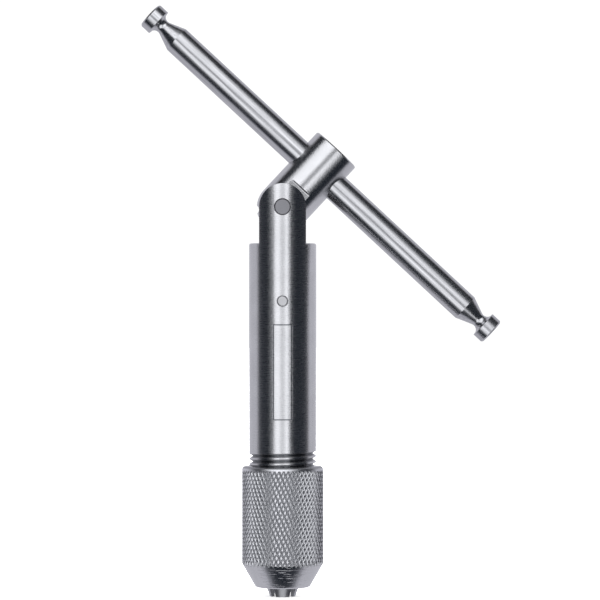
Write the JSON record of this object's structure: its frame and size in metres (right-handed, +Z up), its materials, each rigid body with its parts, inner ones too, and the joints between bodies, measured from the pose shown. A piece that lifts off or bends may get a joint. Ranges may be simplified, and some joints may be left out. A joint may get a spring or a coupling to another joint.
{
  "type": "tap wrench",
  "caption": "T-handle tap wrench with a swivelling head, a sliding bar and a knurled screw chuck whose jaws close on a tap's shank.",
  "frame": {"origin": "centre of the plane of the jaw tips, on the barrel's axis", "axes": "+Z up along the barrel from the jaws to the head, +Y along the hinge pin away from the label frame, +X the way the head is tilted"},
  "size_m": [0.064, 0.0146, 0.1055],
  "materials": {
    "barrel_steel": "polished, fine turned",
    "head_steel": "turned, fine rings",
    "bar_steel": "ground, streaks along the length",
    "cap_steel": "diamond knurled",
    "jaw_steel": "hardened, satin",
    "pin_steel": "ground ends",
    "spring_wire": "drawn wire"
  },
  "bodies": {
    "barrel_body": {"barrel": "barrel_steel", "hinge_pin": "pin_steel", "stop_pin": "pin_steel", "detent_spring": "spring_wire"},
    "plunger_body": {"detent_plunger": "pin_steel"},
    "head_body": {"swivel_head": "head_steel", "bar_spring": "spring_wire"},
    "ball_body": {"bar_ball": "pin_steel"},
    "bar_body": {"handle_bar": "bar_steel"},
    "cap_body": {"chuck_cap": "cap_steel"},
    "jaw_front_body": {"jaw_front": "jaw_steel", "jaw_spring_front": "spring_wire"},
    "jaw_right_body": {"jaw_right": "jaw_steel", "jaw_spring_right": "spring_wire"},
    "jaw_rear_body": {"jaw_rear": "jaw_steel", "jaw_spring_rear": "spring_wire"},
    "jaw_left_body": {"jaw_left": "jaw_steel", "jaw_spring_left": "spring_wire"}
  },
  "joints": [
    {"name": "head_tilt", "type": "hinge", "parent": "barrel_body", "child": "head_body", "pos_m": [0, 0, 0.0694], "axis": [0, 1, 0], "range_deg": [-129.9, 44.1]},
    {"name": "bar_slide", "type": "slide", "parent": "head_body", "child": "bar_body", "axis": [0.7325, 0, -0.6807], "range_m": [-0.0393, 0.0376]},
    {"name": "plunger_slide", "type": "slide", "parent": "barrel_body", "child": "plunger_body", "axis": [0, 0, 1], "range_m": [-0.0006, 0], "stiffness_N_per_m": 1000, "springref_m": 0.0005, "deforming": ["detent_spring"]},
    {"name": "ball_slide", "type": "slide", "parent": "head_body", "child": "ball_body", "axis": [0.6807, 0, 0.7325], "range_m": [-0.0004, 0], "stiffness_N_per_m": 1000, "springref_m": 0.0003},
    {"name": "cap_turn", "type": "hinge", "parent": "barrel_body", "child": "cap_body", "pos_m": [0, 0, 0], "axis": [0, 0, 1], "range_deg": [0, 648]},
    {"name": "jaw_front_slide", "type": "slide", "parent": "barrel_body", "child": "jaw_front_body", "axis": [0, 1, 0], "range_m": [0, 0.00066]},
    {"name": "jaw_right_slide", "type": "slide", "parent": "barrel_body", "child": "jaw_right_body", "axis": [-1, 0, 0], "range_m": [0, 0.00066]},
    {"name": "jaw_rear_slide", "type": "slide", "parent": "barrel_body", "child": "jaw_rear_body", "axis": [0, -1, 0], "range_m": [0, 0.00066]},
    {"name": "jaw_left_slide", "type": "slide", "parent": "barrel_body", "child": "jaw_left_body", "axis": [1, 0, 0], "range_m": [0, 0.00066]}
  ],
  "couplings": [
    {"joint": "jaw_front_slide", "follows": "cap_turn", "m_per_rad": 0.000057928},
    {"joint": "jaw_right_slide", "follows": "cap_turn", "m_per_rad": 0.000057928},
    {"joint": "jaw_rear_slide", "follows": "cap_turn", "m_per_rad": 0.000057928},
    {"joint": "jaw_left_slide", "follows": "cap_turn", "m_per_rad": 0.000057928}
  ]
}
